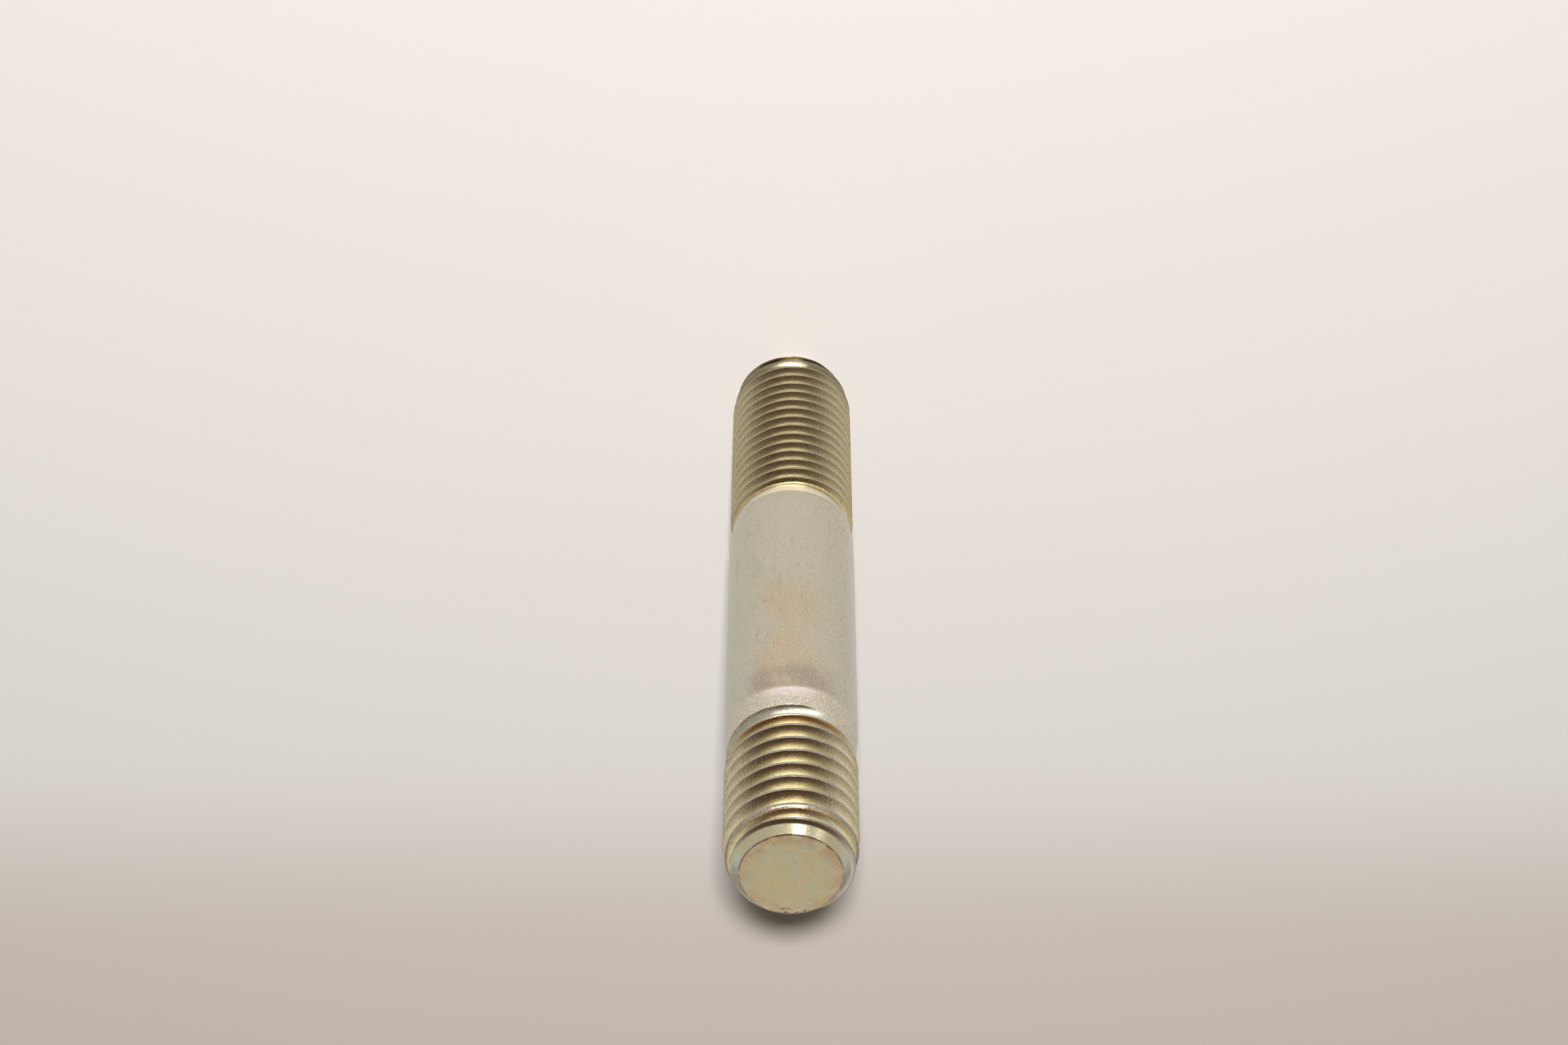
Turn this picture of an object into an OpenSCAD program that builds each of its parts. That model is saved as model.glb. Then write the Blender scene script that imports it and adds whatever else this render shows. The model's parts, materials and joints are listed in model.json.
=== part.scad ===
// Double-ended stud bolt: one steel bar with a plain shank and a right-hand metric thread on
// each end. It stands on the flat of its fine-threaded end, with its axis along +Z.

/* [Shank] */
// diameter of the plain shank
shank_d = 12; // [10:0.1:16]
// length of the shank at its full diameter
shank_len = 28.8; // [5:0.1:80]

/* [Crests] */
// how much less the thread crests measure across than the shank
crest_under = 0.1; // [0:0.02:0.4]
// how far the bar sinks below the crests at each neck, where the thread dies out
neck_drop = 0.25; // [0:0.05:0.6]

/* [Ends] */
// height of the 45 degree chamfer round each flat end
chamfer = 1; // [0.4:0.1:2]
// how far the bar at the top of the chamfer lies below the full crests
lead_drop = 0.45; // [0.1:0.05:0.8]
// length from the chamfer to the first crest at full height
lead_len = 2.6; // [0.5:0.1:5]

/* [Coarse thread, upper end] */
// pitch of the coarse thread
coarse_pitch = 1.75; // [1:0.05:2.5]
// length of the bar with crests at full height
coarse_full = 9.8; // [5:0.1:30]
// length from the last full crest to the neck
coarse_runout = 1.5; // [0.8:0.1:4]
// length from the neck up to the plain shank
coarse_shoulder = 3.5; // [1:0.1:8]
// how far past the neck the groove ends
coarse_past = 1.3; // [0:0.1:3]
// length over which the groove dies out
coarse_fade = 1.1; // [0.4:0.1:6]
// angle at which the groove leaves the upper flat
coarse_start = 105; // [0:1:360]

/* [Fine thread, lower end] */
// pitch of the fine thread
fine_pitch = 1.5; // [1:0.05:2.5]
// length of the bar with crests at full height
fine_full = 19.7; // [5:0.1:30]
// length from the last full crest to the neck
fine_runout = 1.4; // [0.8:0.1:4]
// length from the neck up to the plain shank
fine_shoulder = 2.1; // [1:0.1:8]
// how far past the neck the groove ends
fine_past = 0.4; // [0:0.1:2]
// length over which the groove dies out
fine_fade = 1; // [0.4:0.1:6]
// angle at which the groove leaves the lower flat
fine_start = 294; // [0:1:360]

/* [Thread form] */
// depth of the groove in pitches, to a root of the ISO metric radius
depth_per_pitch = 0.6134; // [0.5:0.0001:0.65]
// width of a crest in pitches, where the crests measure as much across as the shank
crest_per_pitch = 0.125; // [0.05:0.005:0.2]
// angle of each flank from the plane across the axis
flank = 30; // [25:1:35]
// straight pieces in one turn of the groove
steps = 30; // [18:1:36]

/* [Hidden] */
$fn = 96;
crest_r = (shank_d - crest_under) / 2;
neck_r = crest_r - neck_drop;
lead_r = crest_r - lead_drop;
flat_r = lead_r - chamfer;
first_crest = chamfer + lead_len;
coarse_neck = first_crest + coarse_full + coarse_runout;
fine_neck = first_crest + fine_full + fine_runout;
coarse_end = coarse_neck + coarse_shoulder;
fine_end = fine_neck + fine_shoulder;
length = fine_end + shank_len + coarse_end;
// how far the groove's cutter clears the bar where it cuts nothing
clear = 0.02;

// Outline of one threaded end as [radius, distance from its flat], out to the plain shank.
function end_outline(full, neck, end) = [
    [flat_r, 0],
    [lead_r, chamfer],
    [crest_r, first_crest],
    [crest_r, first_crest + full],
    [neck_r, neck],
    [shank_d / 2, end]
];

// The bar before its threads are formed.
module bar() {
    lower = end_outline(fine_full, fine_neck, fine_end);
    upper = end_outline(coarse_full, coarse_neck, coarse_end);
    rotate_extrude()
        polygon(concat(
            [[0, 0]],
            lower,
            [for (i = [len(upper) - 1 : -1 : 0]) [upper[i][0], length - upper[i][1]]],
            [[0, length]]
        ));
}

// A right-hand V groove wound along +Z from one pitch outside the flat to the given end. It is at
// full depth until its last fade, over which it rises clear of the bar.
module groove(pitch, start, end, fade) {
    depth = depth_per_pitch * pitch;
    crest_width = crest_per_pitch * pitch + crest_under * tan(flank);
    crest_half = (pitch - crest_width) / 2;
    rise = crest_r / cos(180 / steps) - crest_r + clear;
    outer_half = crest_half + rise * tan(flank);
    root_half = crest_half - depth * tan(flank);
    first = -steps;
    last = round(end / pitch * steps);
    sections = [
        for (i = [first : last])
            let (
                a = start + 360 * i / steps,
                z = pitch * i / steps,
                lift = max(0, 1 - (end - z) / fade) * (depth + clear),
                outer = crest_r + rise + lift,
                root = crest_r - depth + lift
            )
            each [
                [outer * cos(a), outer * sin(a), z - outer_half],
                [root * cos(a), root * sin(a), z - root_half],
                [root * cos(a), root * sin(a), z + root_half],
                [outer * cos(a), outer * sin(a), z + outer_half]
            ]
    ];
    // each side between two sections is a pair of triangles
    sides = [
        for (s = [0 : last - first - 1], k = [0 : 3])
            let (a = 4 * s + k, b = 4 * s + (k + 1) % 4)
            each [[a, a + 4, b + 4], [a, b + 4, b]]
    ];
    n = 4 * (last - first);
    caps = [[0, 1, 2], [0, 2, 3], [n + 2, n + 1, n], [n + 3, n + 2, n]];
    polyhedron(sections, concat(caps, sides));
}

// The whole stud: the bar with a groove wound in from each end.
module stud() {
    color("#b7aa84")
    difference() {
        bar();
        groove(fine_pitch, fine_start, fine_neck + fine_past, fine_fade);
        translate([0, 0, length])
            rotate([180, 0, 0])
                groove(coarse_pitch, coarse_start, coarse_neck + coarse_past, coarse_fade);
    }
}

stud();
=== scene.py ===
import json
import math

import bmesh
import bpy
import numpy as np
from mathutils import Matrix, Vector


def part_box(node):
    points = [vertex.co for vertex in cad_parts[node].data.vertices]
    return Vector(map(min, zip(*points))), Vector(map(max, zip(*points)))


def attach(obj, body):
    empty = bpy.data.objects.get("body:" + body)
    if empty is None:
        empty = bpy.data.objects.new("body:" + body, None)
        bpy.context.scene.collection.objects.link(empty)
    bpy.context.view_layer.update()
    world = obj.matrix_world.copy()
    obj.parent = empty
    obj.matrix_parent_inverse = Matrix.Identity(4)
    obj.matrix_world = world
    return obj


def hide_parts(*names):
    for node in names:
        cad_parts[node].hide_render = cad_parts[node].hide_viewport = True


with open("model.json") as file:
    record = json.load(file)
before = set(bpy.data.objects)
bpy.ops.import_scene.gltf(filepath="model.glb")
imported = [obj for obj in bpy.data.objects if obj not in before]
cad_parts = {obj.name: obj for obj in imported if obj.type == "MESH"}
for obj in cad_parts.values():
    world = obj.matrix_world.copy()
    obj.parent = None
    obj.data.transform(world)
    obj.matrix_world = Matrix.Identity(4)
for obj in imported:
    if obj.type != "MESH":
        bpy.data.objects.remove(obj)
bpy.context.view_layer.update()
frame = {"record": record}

# ---------------------------------------------------------------------------------------------
# The bar
# One steel bar, turned to size and cut off square, with a chamfer round each end. It sinks a
# little at each neck, where a thread dies out, and rises again to the plain shank.
# ---------------------------------------------------------------------------------------------
MM = 0.001
low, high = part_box("stud")
length = (high[2] - low[2]) / MM
mounts = {mount["name"]: mount["dims"] for mount in frame["record"]["mounts"]}
shank_r = mounts["shank"]["r_mm"]
crest_r = mounts["coarse_thread"]["r_mm"]
neck = {
    "coarse": mounts["coarse_thread"]["length_mm"],
    "fine": mounts["fine_thread"]["length_mm"],
}
# the bottom of each neck: how far out it lies, and how far from the flat
neck_r = {"coarse": crest_r - 0.25, "fine": crest_r - 0.34}
neck_d = {"coarse": neck["coarse"], "fine": neck["fine"] - 0.5}
# where each shoulder starts, and how far out it lies there
foot_d = {"coarse": neck["coarse"] + 0.5, "fine": neck["fine"] + 0.6}
foot_r = {"coarse": 5.743, "fine": 5.79}
lead_r = crest_r - 0.45
chamfer = 1.0
flat_r = lead_r - chamfer
first_crest = 3.6
last_crest = {"coarse": neck["coarse"] - 1.5, "fine": neck["fine"] - 1.4}
shoulder = {"coarse": neck["coarse"] + 3.5, "fine": neck["fine"] + 2.1}
# the rolled metal stands in a small step over the chamfer, from here out
step_d = 0.8
step_r = 5.15
broken_edge = 0.05


def bar_radius(d, end):
    """Radius of the bar at a distance d from its flat: straight lines between the turned
    corners, averaged over broken_edge to either side, which breaks each corner."""
    corners = [-1, 0, step_d, chamfer, first_crest, last_crest[end], neck_d[end], foot_d[end],
               shoulder[end]]
    radii = [flat_r - 1, flat_r, step_r, lead_r, crest_r, crest_r, neck_r[end], foot_r[end],
             shank_r]
    reach = np.linspace(-broken_edge, broken_edge, 9)
    return np.interp(d[..., None] + reach, corners, radii).mean(axis=-1)


# ---------------------------------------------------------------------------------------------
# The threads
# A right-hand metric thread is rolled into each end, coarse at the top and fine at the bottom:
# 60 degree flanks, a round root and a narrow crest. The rolls' ends are chamfered, so the last
# groove runs out over a hollow, and it dies quickly once the rolls lift out.
# ---------------------------------------------------------------------------------------------
pitch = {"coarse": 1.75, "fine": 1.5}
# turns from the end's own +X to where the groove's centre leaves the flat
groove_start = {"coarse": 105 / 360, "fine": 294 / 360}
depth_per_pitch = 0.6134
crest_per_pitch = 0.09
flank = math.radians(30)
crest_blend = 0.012
# the run-out's hollow: where its middle lies, its radius there, the radius of its round, and
# the slope at which it is entered from the root
hollow_d = {"coarse": neck["coarse"] + 0.078, "fine": neck["fine"] - 0.665}
hollow_r = {"coarse": 5.182, "fine": 5.587}
hollow_round = {"coarse": 1.1, "fine": 0.6}
entry_slope = {"coarse": math.radians(17), "fine": math.radians(16)}
# where the rolls lift out, and how fast
lift_start = {"coarse": neck["coarse"] + 0.84, "fine": neck["fine"]}
lift_pace = 3.0
# how far the last groove sits back from its helix, and over which length that builds up
set_back = {"coarse": 0.2, "fine": 0}
set_back_length = 0.5


def hollow(c, bottom, bottom_round):
    """Radius at a distance c from the middle of a hollow: an arc of radius bottom_round up to
    c = bottom_round cos 30, and then a flank that rises c / tan 30."""
    arc = bottom + bottom_round - np.sqrt(np.maximum(bottom_round**2 - c**2, 0))
    side = bottom - bottom_round + c / math.tan(flank)
    return np.where(c < bottom_round * math.cos(flank), arc, side)


def groove_centre(turn, d, end):
    """Distance from the flat of the nearest groove's centre, which moves one pitch a turn."""
    helix = pitch[end] * (turn - groove_start[end])
    return helix + pitch[end] * np.round((d - helix) / pitch[end])


def groove_radius(turn, d, end):
    """Radius of the groove's surface. It is nowhere lower than the run-out's hollow, which is
    entered up a straight slope and rises as the rolls lift out."""
    depth = depth_per_pitch * pitch[end]
    half_crest = crest_per_pitch * pitch[end] / 2 + (shank_r - crest_r) * math.tan(flank)
    centre = groove_centre(turn, d, end)
    shift = set_back[end] * np.clip((centre - neck[end]) / set_back_length, 0, 1)
    root_round = (pitch[end] / 2 - half_crest) / math.tan(flank) - depth
    groove = hollow(np.abs(d - centre + shift), crest_r - depth, root_round)
    past = d - hollow_d[end]
    entry = hollow_round[end] * math.sin(entry_slope[end])
    run_out = hollow(np.maximum(past, entry), hollow_r[end], hollow_round[end])
    run_out += math.tan(entry_slope[end]) * np.minimum(past - entry, 0)
    run_out += lift_pace * np.maximum(centre - lift_start[end], 0)
    return np.maximum(groove, run_out)


def stud_radius(turn, z):
    """Radius of the stud at an angle in turns and a height: the lower of the bar and the groove,
    blended where the two are within crest_blend, so that each crest has soft edges. The upper
    end is the lower one turned over, so its own angle runs the other way."""
    radius = np.empty_like(z)
    for end, here, own_turn, d in (
        ("fine", z <= length / 2, turn, z),
        ("coarse", z > length / 2, -turn, length - z),
    ):
        bar = bar_radius(d[here], end)
        groove = groove_radius(own_turn[here], d[here], end)
        share = np.clip(0.5 + (groove - bar) / (2 * crest_blend), 0, 1)
        radius[here] = groove + (bar - groove) * share - crest_blend * share * (1 - share)
    return radius


# ---------------------------------------------------------------------------------------------
# The surface of the whole stud
# It is one closed skin. In the threads its rows of faces climb with the helix, so that each
# crest and root is one clean line; on the flats, the chamfers and the shank they go round.
# ---------------------------------------------------------------------------------------------
column_count = 160
turn = np.arange(column_count + 1) / column_count
rim_round = 0.12
chamfer_top = 1.15
# rows from a root to the next crest, as shares of half a pitch: the root's arc, the flank's
# two ends, the crest's edge with a row close to either side, and the crest's middle
row_shares = {
    "coarse": [0, 0.09, 0.18, 0.253, 0.29, 0.55, 0.861, 0.877, 0.893, 1],
    "fine": [0, 0.12, 0.24, 0.29, 0.856, 0.872, 0.888, 1],
}
# where the groove runs out a pitch is cut into this many rows, and over this share of a turn the
# extra ones part from the row below them or join it again
run_out_rows = {"coarse": 22, "fine": 15}
parting = 0.1


def level_rows(heights):
    """Rows that go round the bar at the same height."""
    return np.asarray(heights)[:, None] + 0 * turn


def climbing_rows(end, bottom, top, groove_at, run_out):
    """Rows that climb one pitch a turn, with the groove's centre at height groove_at and turn 0.
    Past bottom and top they are laid onto that height, and so are those just inside it. Extra
    rows cover one pitch up from the row nearest run_out. They climb for two turns: they part
    from the row below them as the first starts, and join it again as the second ends, so that
    the seam closes."""
    p = pitch[end]
    half = np.array(row_shares[end]) * p / 2
    one_pitch = np.concatenate([half, p - half[-2:0:-1]])
    first, last = (math.floor((edge - groove_at) / p) for edge in (bottom, top))
    pitches = groove_at + p * np.arange(first - 1, last + 1)
    starts = (pitches[:, None] + one_pitch).ravel()
    part = np.clip(turn / parting, 0, 1)
    join = np.clip((1 - turn) / parting, 0, 1)
    base = starts[np.argmin(np.abs(starts - run_out))]
    pitch_share = np.arange(1, run_out_rows[end]) / run_out_rows[end]
    extra = base + p * np.concatenate([pitch_share - 1, pitch_share])
    below = starts[np.searchsorted(starts, extra, side="right") - 1]
    share = np.repeat([part, join], len(pitch_share), axis=0)
    extra_rows = below[:, None] + (extra - below)[:, None] * share + p * turn
    order = np.argsort(np.concatenate([starts, extra]), kind="stable")
    rows = np.concatenate([starts[:, None] + p * turn, extra_rows])[order]
    least = 0.02
    rows = np.where(rows < bottom + least, bottom, rows)
    return np.where(rows > top - least, top, rows)


fine_top = shoulder["fine"] - 0.3
coarse_bottom = length - (neck["coarse"] + 2)
chamfer_heights = np.arange(0.09, chamfer_top, 0.05)
shoulder_steps = np.array([-0.35, -0.2, -0.1, 0, 0.1, 0.2, 0.35])
shank_heights = np.sort(np.concatenate([
    np.linspace(fine_top, coarse_bottom, 24)[1:-1],
    shoulder["fine"] + shoulder_steps[3:],
    length - shoulder["coarse"] + shoulder_steps,
]))
fine_run_out = neck["fine"] - 1.1
coarse_run_out = length - neck["coarse"] - 1.4
heights = np.concatenate([
    level_rows(chamfer_heights),
    climbing_rows("fine", chamfer_top, fine_top, -pitch["fine"] * groove_start["fine"],
                  fine_run_out),
    level_rows(shank_heights),
    climbing_rows("coarse", coarse_bottom, length - chamfer_top,
                  length + pitch["coarse"] * groove_start["coarse"], coarse_run_out),
    level_rows(length - chamfer_heights[::-1]),
])
radii = stud_radius(turn + 0 * heights, heights)

# the flat and its broken rim: rings out to the chamfer, the last ones round an arc
bend = np.radians(np.linspace(0, 45, 5))
rim = flat_r - rim_round * math.tan(math.radians(22.5))
rings = [0, 1.2, 2.2, 3.0, 3.5, 3.7, 3.85, 4.0, 4.1, 4.2, 4.3, 4.38]
end_radii = np.concatenate([rings, rim + rim_round * np.sin(bend)])
end_heights = np.concatenate([0 * np.array(rings), rim_round * (1 - np.cos(bend))])
cap_rows = len(end_radii)
radii = np.concatenate([level_rows(end_radii), radii, level_rows(end_radii[::-1])])
heights = np.concatenate([
    level_rows(end_heights), heights, level_rows(length - end_heights[::-1])
])
angle = 2 * math.pi * turn
points = np.stack([radii * np.cos(angle), radii * np.sin(angle), heights], axis=-1)

# ---------------------------------------------------------------------------------------------
# Knocks
# The upper end has been knocked about: small chips along one side of its rim, a flattened
# stretch of rim, and a nick in the first full crest. Each is a dent with a round bottom.
# ---------------------------------------------------------------------------------------------
# degrees round from +X, distance from the axis, depth below the flat, size, depth of the dent
knocks = [
    (60, 4.5, 0.05, 0.25, 0.06),
    (76, 4.5, 0.1, 0.35, 0.12),
    (80, 3.85, 0, 0.28, 0.1),
    (84, 4.3, 0, 0.3, 0.12),
    (86, 3.8, 0, 0.25, 0.08),
    (91, 4.5, 0.1, 0.4, 0.1),
    (97, 4.3, 0, 0.25, 0.12),
    (101, 4.5, 0.05, 0.3, 0.14),
    (106, 4.2, 0, 0.28, 0.12),
    (110, 4.5, 0.1, 0.35, 0.12),
    (113, 4.35, 0, 0.2, 0.1),
    (147, 4.55, 0.1, 0.7, 0.14),
    (154, 4.55, 0.1, 0.6, 0.12),
    (-133, 4.5, 0.05, 0.2, 0.06),
    (178, 5.9, 2.7, 0.35, 0.18),
    (168, 5.7, 2.0, 0.25, 0.1),
]


def dent(points, knocks):
    """Moves each point into the bar by depth (1 - q) squared, where q is the square of its
    distance from the knock over the knock's size, and returns how deeply each was dented."""
    inward = -points * [0.7, 0.7, 0] / (np.hypot(points[..., 0], points[..., 1])[..., None] + 0.1)
    inward[..., 2] = -0.7 * np.clip(1 - (length - points[..., 2]), 0, 1)
    dented = np.zeros(points.shape[:-1])
    for degrees, radius, below, size, depth in knocks:
        at = math.radians(degrees)
        knock = [radius * math.cos(at), radius * math.sin(at), length - below]
        q = ((points - knock) ** 2).sum(axis=-1) / size**2
        dented += depth * np.clip(1 - q, 0, 1) ** 2
    return points + inward * dented[..., None], dented


points, dented = dent(points, knocks)

number = np.arange(points[..., 0].size).reshape(heights.shape)
faces = np.stack(
    [number[:-1, :-1], number[:-1, 1:], number[1:, 1:], number[1:, :-1]], axis=-1
)
skin = bpy.data.meshes.new("stud_bolt")
skin.from_pydata((points * MM).reshape(-1, 3).tolist(), [], faces.reshape(-1, 4).tolist())

# ---------------------------------------------------------------------------------------------
# The map of the skin
# The skin is slit along one side and rolled out flat, cut in two at the middle of the shank.
# Across the map it is the angle times the shank's radius, and up it the distance along the
# skin's own profile, so the finish isn't stretched in the threads. The flats are discs.
# ---------------------------------------------------------------------------------------------
steps = np.linalg.norm(np.diff(points, axis=0), axis=-1)
along = np.concatenate([0 * turn[None], np.cumsum(steps, axis=0)])
round_shank = 2 * math.pi * shank_r
gap = 1.0
fold = int(np.argmin(np.abs(heights[:, 0] - length / 2)))
sheet = 2 * round_shank + 3 * gap
across = turn[None] * round_shank + 0 * along
lower_half = np.stack([gap + across, gap + along], axis=-1)
upper_half = np.stack([2 * gap + round_shank + across, gap + along - along[fold]], axis=-1)
disc_up = sheet - gap - flat_r
lower_disc = points[..., :2] + [gap + flat_r, disc_up]
upper_disc = points[..., :2] + [3 * gap + 3 * flat_r, disc_up]
row = np.arange(len(heights) - 1)
flat_map = np.empty((*faces.shape, 2))
for places, rows in (
    (lower_half, (row >= cap_rows - 1) & (row < fold)),
    (upper_half, (row >= fold) & (row <= len(row) - cap_rows)),
    (lower_disc, row < cap_rows - 1),
    (upper_disc, row > len(row) - cap_rows),
):
    flat_map[rows] = places.reshape(-1, 2)[faces[rows]]
skin.uv_layers.new(name="OFBake").uv.foreach_set("vector", (flat_map / sheet).ravel())

# ---------------------------------------------------------------------------------------------
# Where the finish differs
# The rolls polished the threads, the shoulder beside the coarse one stayed frosty, and the ends
# were turned. A few areas only mark where a highlight or shade is painted. Each area is a value
# from 0 to 1 at the points of the skin, and its limits are in mm or in degrees.
# ---------------------------------------------------------------------------------------------
def rise(x, low, high):
    """0 below low and 1 above high, with a smooth step between them."""
    share = np.clip((x - low) / (high - low), 0, 1)
    return share**2 * (3 - 2 * share)


at_top = heights > length / 2
from_flat = np.where(at_top, length - heights, heights)
bar = np.where(at_top, bar_radius(from_flat, "coarse"), bar_radius(from_flat, "fine"))
groove_depth = np.maximum(bar - radii, 0)
groove_depth[from_flat < 0.05] = 0
from_neck = from_flat - np.where(at_top, neck_d["coarse"], neck_d["fine"])
# degrees round from the side that lay uppermost, toward -Y and the lamps; the film's drifts, the
# marks of handling and the painted highlights and shade are all set out from it
around = (np.degrees(angle) + 90 + 180) % 360 - 180 + 0 * heights
off_top = np.abs(around)
threaded = np.maximum(1 - rise(from_neck, -0.5, -0.2), rise(groove_depth, 0.015, 0.05))
threaded *= rise(from_flat, chamfer - 0.1, chamfer + 0.1)
coarse_centre = groove_centre(-turn, from_flat, "coarse")
centre = np.where(at_top, coarse_centre, groove_centre(turn, from_flat, "fine"))
half_pitch = np.where(at_top, pitch["coarse"], pitch["fine"]) / 2
from_crest = half_pitch - np.abs(from_flat - centre)
# a crest is a touch wider near the neck, where the bar sinks and the groove grows shallow
edge = 0.05 * rise(from_neck, -1.2, -0.6)
crest = (1 - rise(groove_depth, 0.01 + edge, 0.04 + 2 * edge)) * (1 - rise(from_neck, 0, 0.3))
crest *= threaded * (1 - rise(from_crest, 0.22, 0.3) * rise(from_flat, 3, 5))
run_out = threaded * rise(from_neck, -0.2, 0.1) * at_top
shank = rise(from_flat - np.where(at_top, shoulder["coarse"], foot_d["fine"]), -0.25, 0)
coned = (1 - threaded) * (1 - shank) * at_top
turned_end = 1 - rise(from_flat, 0.75, 0.85)
chamfered = turned_end * rise(radii, flat_r - 0.1, flat_r)
areas = {
    # the rolled threads: crests, flanks, roots, where each groove runs out, and painted highlights
    "thread": threaded,
    "crest": crest * at_top,
    "fine_crest": crest * ~at_top,
    "flank": threaded * rise(groove_depth, 0.02, 0.06) * (1 - rise(groove_depth, 0.25, 0.5))
    * (1 - rise(off_top, 45, 65)) * at_top,
    "root": rise(groove_depth, 0.35, 0.65) * (1 - rise(from_neck, -0.5, -0.1)),
    "run_out": run_out,
    # a painted highlight: a pale band along one side of the coarse run-out
    "painted_run_out_highlight": run_out * rise(-around, 5, 30),
    # a painted highlight: a near-white band round the upper side of the fine neck
    "painted_neck_highlight": rise(from_neck, -0.6, -0.2) * (1 - rise(from_neck, 0.85, 1.15))
    * (1 - rise(off_top, 15, 75)) * ~at_top,
    # the shank, and the shoulder at its upper end with a painted highlight along its top
    "shank": shank,
    "shoulder": coned * rise(from_neck, -0.5, -0.2),
    # a painted highlight: a pinkish-white band along the shoulder's top edge, on the upper side
    "painted_shoulder_highlight": coned * rise(from_flat, 16.8, 17.6) * (1 - rise(off_top, 8, 32)),
    "grainy": 1 - 0.7 * rise(chamfer + 0.1 - from_flat, 0, 0.2),
    # the turned ends: flat, rim and chamfer, and painted shade on the small step over it
    "turned": turned_end,
    "flat": 1 - rise(radii, flat_r - 0.1, flat_r + 0.05),
    "flat_edge": rise(radii, flat_r - 1.6, flat_r - 0.1) * (1 - rise(from_flat, 0.02, 0.1))
    * (1 - 0.5 * rise(np.abs(around + 8), 40, 80)),
    "rim": rise(radii, flat_r - 0.14, flat_r - 0.05)
    * (1 - rise(radii, flat_r + 0.02, flat_r + 0.09)),
    "chamfer": chamfered,
    "chamfer_low": chamfered * rise(off_top, 50, 85),
    # painted shade: a dark band on the step over each chamfer, strongest on the upper side
    "step": rise(from_flat, 0.76, 0.82) * (1 - rise(from_flat, 1.0, 1.1))
    * (1 - 0.8 * rise(off_top, 35, 75)),
    # where the film's colour drifts, the marks of handling, and painted shade at the fine end
    "warm_side": rise(around, -38, -12) * (1 - rise(around, 20, 42)) * rise(heights, 36, 44),
    "pink_side": rise(-around, 50, 75) * (1 - rise(-around, 110, 170)),
    "green_side": rise(around, 45, 75) * (1 - rise(around, 110, 170)),
    "scuffed_side": rise(-around, 25, 40) * (1 - rise(-around, 60, 75)) * shank,
    "tarnish": rise(heights, 51.5, 53.5) * (1 - rise(heights, 55.2, 55.8))
    * (1 - rise(off_top, 25, 50)),
    # painted shade: dark patches at the fine end, deeper in its grooves, on either side of the top
    "painted_fine_end_shade": (1 - rise(from_flat, 3.0, 4.0)) * (0.5 + 0.5 * rise(groove_depth, 0.05, 0.2))
    * rise(off_top, 6, 18) * (1 - rise(off_top, 65, 85)) * ~at_top,
    "knocked": rise(dented, 0.02, 0.06),
}
for name, amount in areas.items():
    skin.attributes.new(name, "FLOAT", "POINT").data.foreach_set("value", amount.ravel())

# a grid's last column meets its first one pitch higher, so like points are welded
weld = bmesh.new()
weld.from_mesh(skin)
bmesh.ops.remove_doubles(weld, verts=weld.verts, dist=0.002 * MM)
weld.to_mesh(skin)
weld.free()
skin.shade_smooth()

stud = bpy.data.objects.new("stud_bolt", skin)
bpy.context.scene.collection.objects.link(stud)
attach(stud, "root")
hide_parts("stud")

# ---------------------------------------------------------------------------------------------
# The finish
# Zinc electroplate under a yellow chromate film. The film is thin and uneven, so its colour
# drifts from grey green to straw, pink and pale blue. It is browner and glossier where the
# threads were rolled, and frosted with fine crystals on the shoulders.
# ---------------------------------------------------------------------------------------------
def linear(hex_colour):
    """An sRGB hex colour as linear RGBA."""
    parts = [int(hex_colour[i : i + 2], 16) / 255 for i in (1, 3, 5)]
    return [p / 12.92 if p <= 0.04045 else ((p + 0.055) / 1.055) ** 2.4 for p in parts] + [1]


def add(tree, kind, settings=None, **links):
    """Adds a node to a tree. settings are its own properties. Each link names one of its inputs,
    with _ for a space or as i and a number, and gives a value or another node's output."""
    node = tree.nodes.new(kind)
    for name, value in (settings or {}).items():
        setattr(node, name, value)
    for name, value in links.items():
        key = int(name[1:]) if name[0] == "i" and name[1:].isdigit() else name.replace("_", " ")
        if isinstance(value, bpy.types.NodeSocket):
            tree.links.new(value, node.inputs[key])
        else:
            node.inputs[key].default_value = value
    return node


zinc = bpy.data.materials.new("yellow_passivated_zinc")
zinc.use_nodes = True
tree = zinc.node_tree
tree.nodes.clear()
metres = add(tree, "ShaderNodeTexCoord").outputs["Object"]
to_mm = add(tree, "ShaderNodeVectorMath", {"operation": "SCALE"}, Vector=metres, Scale=1 / MM)
place = to_mm.outputs[0]
smooth = {"interpolation_type": "SMOOTHSTEP"}


def patches(across, along, low, high):
    """A pattern of soft patches, in mm across the bar and along it. It is 0 where a noise with a
    middle of 0.5 is below low, and 1 where it is above high."""
    size = (1 / across, 1 / across, 1 / along)
    spread = add(tree, "ShaderNodeVectorMath", {"operation": "MULTIPLY"}, i0=place, i1=size)
    noise = add(tree, "ShaderNodeTexNoise", Vector=spread.outputs[0], Scale=1, Detail=3)
    return add(tree, "ShaderNodeMapRange", smooth, Value=noise.outputs["Fac"],
               From_Min=low, From_Max=high).outputs[0]


def share_of(area, pattern, amount):
    """The share of a layer: an area of the skin times a pattern, where there is one, times an
    amount."""
    share = add(tree, "ShaderNodeAttribute", {"attribute_name": area}).outputs["Fac"]
    for factor in (pattern, amount):
        if factor is not None:
            product = add(tree, "ShaderNodeMath", {"operation": "MULTIPLY"}, i0=share, i1=factor)
            share = product.outputs[0]
    return share


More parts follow.
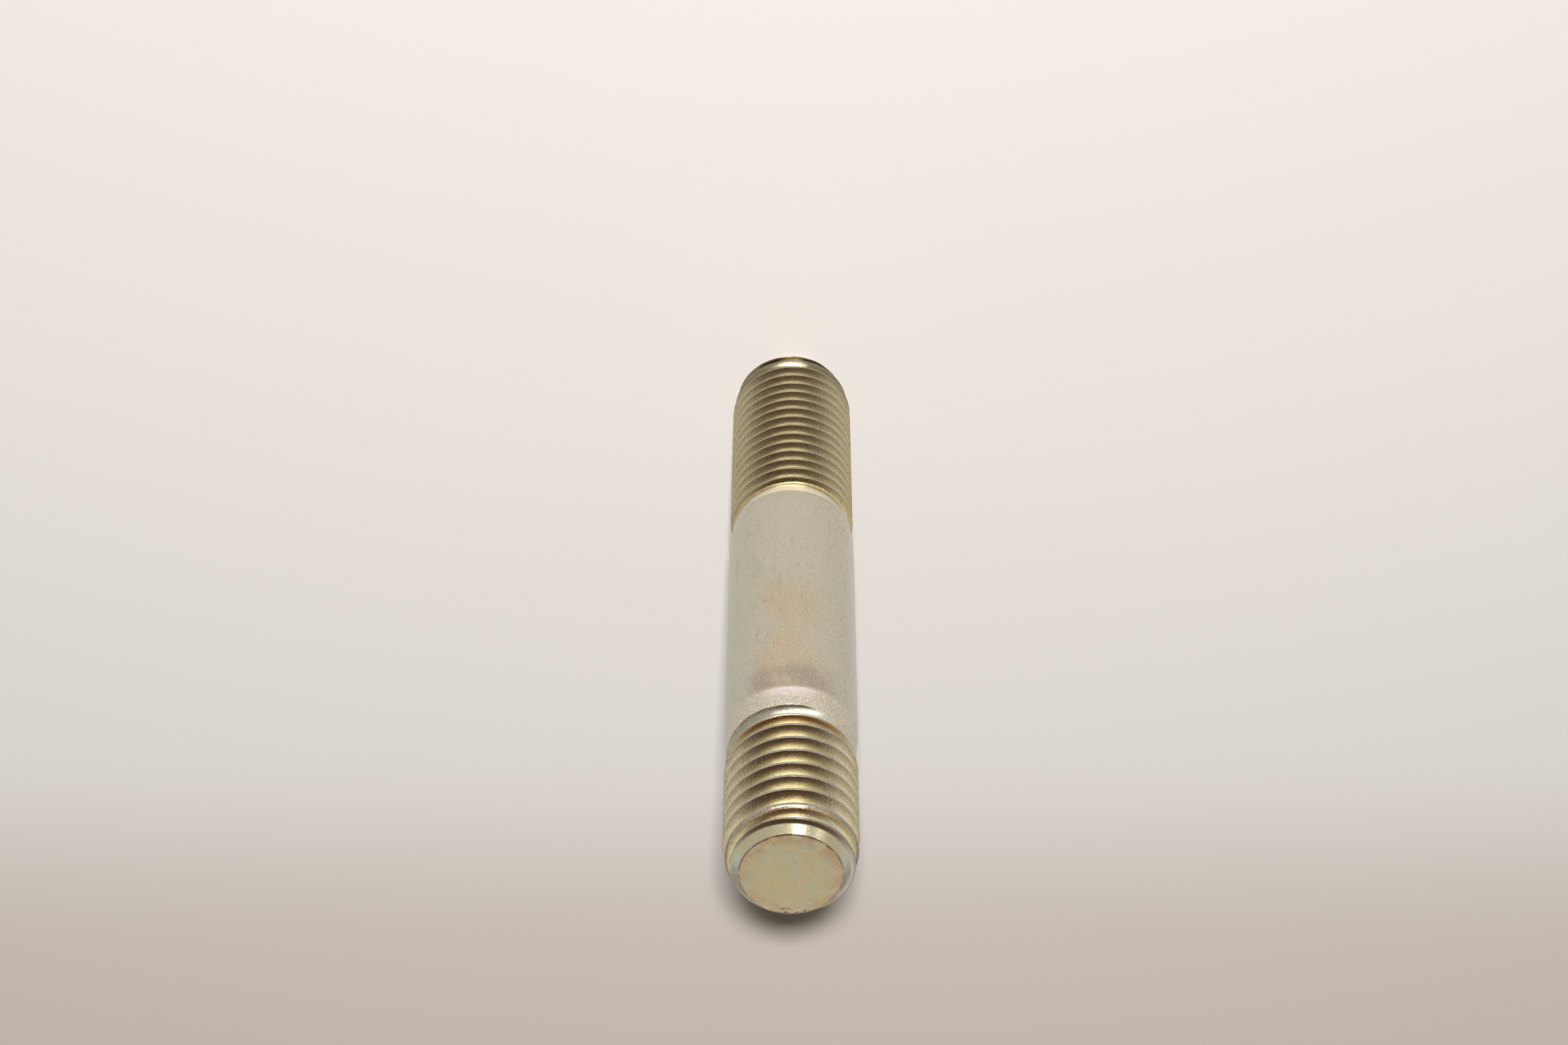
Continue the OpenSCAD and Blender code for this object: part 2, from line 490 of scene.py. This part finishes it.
# marks left by turning the flats: rings 0.25 mm apart, coarser than the real feed so that they
# show, which fade in and out over 1.8 mm
ring_pitch, ring_fade = 0.25, 1.8
flattened = add(tree, "ShaderNodeVectorMath", {"operation": "MULTIPLY"}, i0=place, i1=(1, 1, 0))
sides = flattened.outputs[0]
from_axis = add(tree, "ShaderNodeVectorMath", {"operation": "LENGTH"}, Vector=sides)
ring = add(tree, "ShaderNodeMath", {"operation": "MULTIPLY"}, i0=from_axis.outputs["Value"],
           i1=1 / ring_pitch)
fade = add(tree, "ShaderNodeVectorMath", {"operation": "SCALE"}, Vector=sides, Scale=1 / ring_fade)
fade = add(tree, "ShaderNodeSeparateXYZ", Vector=fade.outputs[0])
rings = add(tree, "ShaderNodeCombineXYZ", X=fade.outputs["X"], Y=fade.outputs["Y"],
            Z=ring.outputs[0])
rings = add(tree, "ShaderNodeTexNoise", Vector=rings.outputs[0], Scale=1, Detail=2)
turning_marks = add(tree, "ShaderNodeMapRange", smooth, Value=rings.outputs["Fac"],
                    From_Min=0.5, From_Max=0.66).outputs[0]

# each layer of colour: its colour, its area, its patches and how much of it shows. Real grain
# and scratches are about 0.03 mm across, and are drawn at 0.1 mm so that they show.
# some layers are painted highlights and painted shade, and say so where they stand
layers = [
    ("#D3CACA", "pink_side", None, 0.7),
    ("#C0C4B5", "green_side", None, 0.6),
    ("#C5B294", "warm_side", (2.2, 6, 0.28, 0.60), 0.75),
    ("#CAAF9E", "warm_side", (1.3, 3, 0.50, 0.68), 0.3),
    ("#9F8F86", "tarnish", (1.6, 2.4, 0.30, 0.55), 0.65),
    ("#ABADA6", "shank", (0.9, 3.1, 0.56, 0.74), 0.5),
    ("#857F71", "shank", (0.12, 1.8, 0.62, 0.72), 0.5),
    ("#E2DFD2", "shank", (0.1, 0.5, 0.60, 0.70), 0.45),
    ("#6A6458", "scuffed_side", (0.16, 0.7, 0.64, 0.70), 0.7),
    ("#C6C0B0", "shoulder", None, 1.0),
    ("#CFC19C", "shoulder", (0.4, 0.5, 0.45, 0.68), 0.45),
    ("#CAB884", "thread", None, 1.0),
    ("#AE9560", "thread", (0.8, 0.9, 0.48, 0.66), 0.5),
    ("#C6A98D", "thread", (1.3, 1.1, 0.55, 0.70), 0.35),
    ("#B98E57", "flank", None, 0.85),
    ("#6E5836", "thread", (0.11, 0.11, 0.50, 0.64), 0.42),
    ("#F6F2D4", "root", None, 1.0),
    ("#A9A48D", "run_out", None, 1.0),
    # painted highlight along one side of the coarse run-out
    ("#DBD7C6", "painted_run_out_highlight", None, 0.9),
    ("#6E6750", "run_out", (0.1, 0.1, 0.48, 0.64), 0.6),
    ("#F4F2EA", "run_out", (0.09, 0.09, 0.52, 0.66), 0.55),
    # painted highlight on the upper side of the fine neck
    ("#F7F2E2", "painted_neck_highlight", None, 1.0),
    ("#A39C97", "crest", None, 0.9),
    ("#9E9076", "fine_crest", None, 0.85),
    ("#7C6E66", "crest", (0.22, 0.22, 0.56, 0.66), 0.6),
    ("#C8BD9A", "chamfer", None, 1.0),
    ("#C9BEC0", "chamfer", (0.9, 0.7, 0.52, 0.68), 0.5),
    ("#BAC1BF", "chamfer_low", (1.2, 1.2, 0.34, 0.58), 0.8),
    # painted shade on the step over each chamfer
    ("#6B5B3E", "step", None, 0.85),
    ("#CFC39E", "flat", None, 1.0),
    ("#C4C9B4", "flat", (1.7, 1.7, 0.46, 0.64), 0.7),
    ("#DAC397", "flat", (1.1, 1.1, 0.50, 0.68), 0.6),
    ("#C2A27C", "flat_edge", (1.4, 1.4, 0.35, 0.52), 0.85),
    ("#C4A49C", "flat_edge", (0.7, 0.7, 0.53, 0.66), 0.7),
    ("#B89A78", "flat", turning_marks, 0.12),
    ("#7D7466", "flat", (0.3, 0.3, 0.69, 0.74), 0.7),
    ("#F6F0DC", "grainy", (0.1, 0.1, 0.56, 0.70), 0.5),
    ("#7F7764", "grainy", (0.12, 0.12, 0.56, 0.70), 0.45),
    ("#FFFBEE", "shoulder", (0.11, 0.11, 0.52, 0.64), 0.7),
    # painted highlight along the shoulder's top edge
    ("#F3E6E8", "painted_shoulder_highlight", None, 0.75),
    ("#8D7A76", "rim", (0.9, 0.9, 0.30, 0.55), 0.9),
    ("#BFA59C", "knocked", None, 0.8),
    # painted shade at the fine end, deeper in its grooves
    ("#463F36", "painted_fine_end_shade", (0.9, 1.2, 0.22, 0.42), 0.85),
]
colour = linear("#C5C2B1")
for tint, area, pattern, amount in layers:
    pattern = patches(*pattern) if isinstance(pattern, tuple) else pattern
    colour = add(tree, "ShaderNodeMix", {"data_type": "RGBA"}, i0=share_of(area, pattern, amount),
                 i6=colour, i7=linear(tint)).outputs[2]

roughness = 0.36
for rough, area in (
    (0.44, "shoulder"), (0.22, "thread"), (0.30, "run_out"), (0.22, "crest"), (0.24, "chamfer"),
    (0.34, "flat"),
):
    roughness = add(tree, "ShaderNodeMix", i0=share_of(area, None, None), i2=roughness,
                    i3=rough).outputs[0]

# the plating's grain, whose height in mm is less in the threads, which the rolls polished, and
# on the turned ends. The shoulder has a coarser frost on top.
grain_size, frost_size = 0.13, 0.24
grain = add(tree, "ShaderNodeTexNoise", Vector=place, Scale=1 / grain_size, Detail=2)
frost = add(tree, "ShaderNodeTexNoise", Vector=place, Scale=1 / frost_size, Detail=2)
grain_height = 0.03
for smoother, area in ((0.018, "thread"), (0.012, "turned")):
    grain_height = add(tree, "ShaderNodeMix", i0=share_of(area, None, None), i2=grain_height,
                       i3=smoother).outputs[0]
height = add(tree, "ShaderNodeMath", {"operation": "MULTIPLY"}, i0=grain.outputs["Fac"],
             i1=grain_height).outputs[0]
height = add(tree, "ShaderNodeMath", {"operation": "ADD"}, i0=height,
             i1=share_of("shoulder", frost.outputs["Fac"], 0.06)).outputs[0]

# pits where the plating missed: a dark dot of about 0.2 mm in each 2.4 mm, where its cell's
# middle lies on the skin
pit_spacing = 2.4
dots = add(tree, "ShaderNodeTexVoronoi", Vector=place, Scale=1 / pit_spacing)
pits = add(tree, "ShaderNodeMapRange", smooth, Value=dots.outputs["Distance"],
           From_Min=0.02, From_Max=0.05, To_Min=0.75, To_Max=0).outputs[0]
pits = share_of("shank", pits, None)
colour = add(tree, "ShaderNodeMix", {"data_type": "RGBA"}, i0=pits, i6=colour,
             i7=linear("#5A5249")).outputs[2]
dip = add(tree, "ShaderNodeMath", {"operation": "MULTIPLY"}, i0=pits, i1=-0.02).outputs[0]
height = add(tree, "ShaderNodeMath", {"operation": "ADD"}, i0=height, i1=dip).outputs[0]

relief = add(tree, "ShaderNodeBump", Height=height, Distance=MM, Strength=1)
shader = add(tree, "ShaderNodeBsdfPrincipled", Metallic=1, Base_Color=colour,
             Roughness=roughness, Normal=relief.outputs[0])
add(tree, "ShaderNodeOutputMaterial", Surface=shader.outputs[0])
skin.materials.append(zinc)

# ---------------------------------------------------------------------------------------------
# The floor
# A sheet of matt off-white paper. It shows a faint light of its own to the eye and to the metal,
# and none to the lamps' shadows, so that it stays pale round the stud and into the distance.
# ---------------------------------------------------------------------------------------------
floor_mesh = bpy.data.meshes.new("floor")
reach = 1.5
corners = [(-reach, -reach, 0), (reach, -reach, 0), (reach, reach, 0), (-reach, reach, 0)]
floor_mesh.from_pydata(corners, [], [(0, 1, 2, 3)])
floor = bpy.data.objects.new("floor", floor_mesh)
bpy.context.scene.collection.objects.link(floor)
paper = bpy.data.materials.new("matt_paper")
paper.use_nodes = True
tree = paper.node_tree
tree.nodes.clear()
spot = add(tree, "ShaderNodeTexCoord").outputs["Object"]
# painted shade: the sheet is painted darker under its main lamp, where it would burn out to white
under_lamp = add(tree, "ShaderNodeVectorMath", {"operation": "DISTANCE"}, i0=spot,
                 i1=(0, -0.34, 0)).outputs["Value"]
burn = add(tree, "ShaderNodeMapRange", smooth, Value=under_lamp, From_Min=0.28, From_Max=0.1)
off_white = add(tree, "ShaderNodeMix", {"data_type": "RGBA"}, i0=burn.outputs[0],
                i6=linear("#E2D4C3"), i7=linear("#B1A698"))
matt = add(tree, "ShaderNodeBsdfDiffuse", Color=off_white.outputs[2])
# the faint light: round the stud up to where its shadow falls, and far off, clear of the lamp
y = add(tree, "ShaderNodeSeparateXYZ", Vector=spot).outputs["Y"]
round_stud = add(tree, "ShaderNodeMapRange", smooth, Value=y, From_Min=0.045, From_Max=0.078,
                 To_Min=0.165, To_Max=0.0).outputs[0]
away = add(tree, "ShaderNodeVectorMath", {"operation": "LENGTH"}, Vector=spot).outputs["Value"]
far = add(tree, "ShaderNodeMapRange", smooth, Value=away, From_Min=0.12, From_Max=0.8)
clear = add(tree, "ShaderNodeMapRange", smooth, Value=under_lamp, From_Min=0.25, From_Max=0.7)
far = add(tree, "ShaderNodeMath", {"operation": "MULTIPLY"}, i0=far.outputs[0],
          i1=clear.outputs[0]).outputs[0]
lift = add(tree, "ShaderNodeMath", {"operation": "MULTIPLY_ADD"}, i0=far, i1=0.6, i2=round_stud)
ray = add(tree, "ShaderNodeLightPath")
seen = ray.outputs["Is Camera Ray"]
for other in ("Is Glossy Ray", "Is Transmission Ray"):
    seen = add(tree, "ShaderNodeMath", {"operation": "MAXIMUM"}, i0=seen,
               i1=ray.outputs[other]).outputs[0]
strength = add(tree, "ShaderNodeMath", {"operation": "MULTIPLY"}, i0=seen, i1=lift.outputs[0])
tint = add(tree, "ShaderNodeMix", {"data_type": "RGBA"}, i0=far, i6=linear("#CCE0F2"),
           i7=linear("#F2F3F4"))
glow = add(tree, "ShaderNodeEmission", Color=tint.outputs[2], Strength=strength.outputs[0])
both = add(tree, "ShaderNodeAddShader", i0=glow.outputs[0], i1=matt.outputs[0])
add(tree, "ShaderNodeOutputMaterial", Surface=both.outputs[0])
floor_mesh.materials.append(paper)

# ---------------------------------------------------------------------------------------------
# The light
# The metal mirrors a pale room with a dim, warm ceiling and three soft lamps on the -Y side. The
# paper has two lamps of its own, so that its brightness and the stud's shadow can be set apart
# from what the metal mirrors.
# ---------------------------------------------------------------------------------------------
world = bpy.data.worlds.new("studio")
bpy.context.scene.world = world
world.use_nodes = True
world.cycles_visibility.diffuse = False
tree = world.node_tree
tree.nodes.clear()
direction = add(tree, "ShaderNodeTexCoord").outputs["Generated"]
ceiling = (0, -0.1, 0.995)
upward = add(tree, "ShaderNodeVectorMath", {"operation": "DOT_PRODUCT"}, i0=direction, i1=ceiling)
share = add(tree, "ShaderNodeMapRange", smooth, Value=upward.outputs["Value"],
            From_Min=math.cos(math.radians(46)), From_Max=math.cos(math.radians(31)))
depth = add(tree, "ShaderNodeSeparateXYZ", Vector=direction).outputs["Y"]
near_wall = add(tree, "ShaderNodeMapRange", smooth, Value=depth, From_Min=-0.1, From_Max=0.6)
walls = add(tree, "ShaderNodeMix", {"data_type": "RGBA"}, i0=near_wall.outputs[0],
            i6=linear("#D8D6D1"), i7=linear("#F0EDE6"))
room = add(tree, "ShaderNodeMix", {"data_type": "RGBA"}, i0=share.outputs[0],
           i6=walls.outputs[2], i7=linear("#5C4637"))
sky = add(tree, "ShaderNodeBackground", Color=room.outputs[2])
add(tree, "ShaderNodeOutputWorld", Surface=sky.outputs[0])


def softbox(name, place, target, width, height, radiance, colour="#FFFFFF", lights="metal"):
    """A rectangular lamp at place, facing target, as bright as radiance. It lights the metal or
    the paper, and isn't seen itself."""
    lamp = bpy.data.lights.new(name, "AREA")
    lamp.shape, lamp.size, lamp.size_y = "RECTANGLE", width, height
    lamp.energy = radiance * math.pi * width * height
    lamp.color = linear(colour)[:3]
    box = bpy.data.objects.new(name, lamp)
    box.location = place
    box.rotation_euler = (Vector(target) - Vector(place)).to_track_quat("-Z", "Y").to_euler()
    box.visible_camera = False
    box.visible_diffuse = lights == "paper"
    box.visible_glossy = lights == "metal"
    bpy.context.scene.collection.objects.link(box)


# the paper's lamps: a small strong one that throws the stud's shadow, and a wide weak one
softbox("main_lamp", (-0.0025, -0.3418, 0.436), (0, 0, 0.03), 0.022, 0.014, 3870, "#F0F5FF", "paper")
softbox("overhead_lamp", (0, 0, 1.2), (0, 0, 0), 1.2, 1.2, 0.38, "#FFF3DD", "paper")
# the metal's lamps: one for the glint on the upper chamfer, a weak warm one beside it, and a wide
# low one for the bright line along each root
top = (0, -0.005, 0.0735)
softbox("high_lamp", (-0.13, -0.515, 0.359), top, 0.085, 0.09, 17)
softbox("side_lamp", (-0.427, -0.352, 0.312), top, 0.1, 0.1, 2.2, "#FFF3DE")
softbox("low_lamp", (0, -0.55, 0.125), (0, -0.1, 0.07), 0.5, 0.25, 4, "#EEF5FF")

# ---------------------------------------------------------------------------------------------
# The camera
# It looks down on the upper end from the -Y side, so that the stud seems to lie on its side with
# that end nearest.
# ---------------------------------------------------------------------------------------------
pitch_down = math.radians(35.64)
yaw = math.radians(0.16)
forward = Vector((
    math.sin(yaw) * math.cos(pitch_down),
    math.sin(pitch_down),
    -math.cos(yaw) * math.cos(pitch_down),
))
right = Vector((-math.cos(yaw), 0, -math.sin(yaw)))
up = right.cross(forward)
lens = bpy.data.cameras.new("camera")
lens.lens, lens.sensor_width = 76.5, 36
lens.clip_start, lens.clip_end = 0.01, 10
camera = bpy.data.objects.new("camera", lens)
eye = Matrix.Translation((0, -0.1898, length * MM + 0.2132))
camera.matrix_world = eye @ Matrix((right, up, -forward)).transposed().to_4x4()
bpy.context.scene.collection.objects.link(camera)
bpy.context.scene.camera = camera
bpy.context.scene.view_settings.view_transform = "Standard"
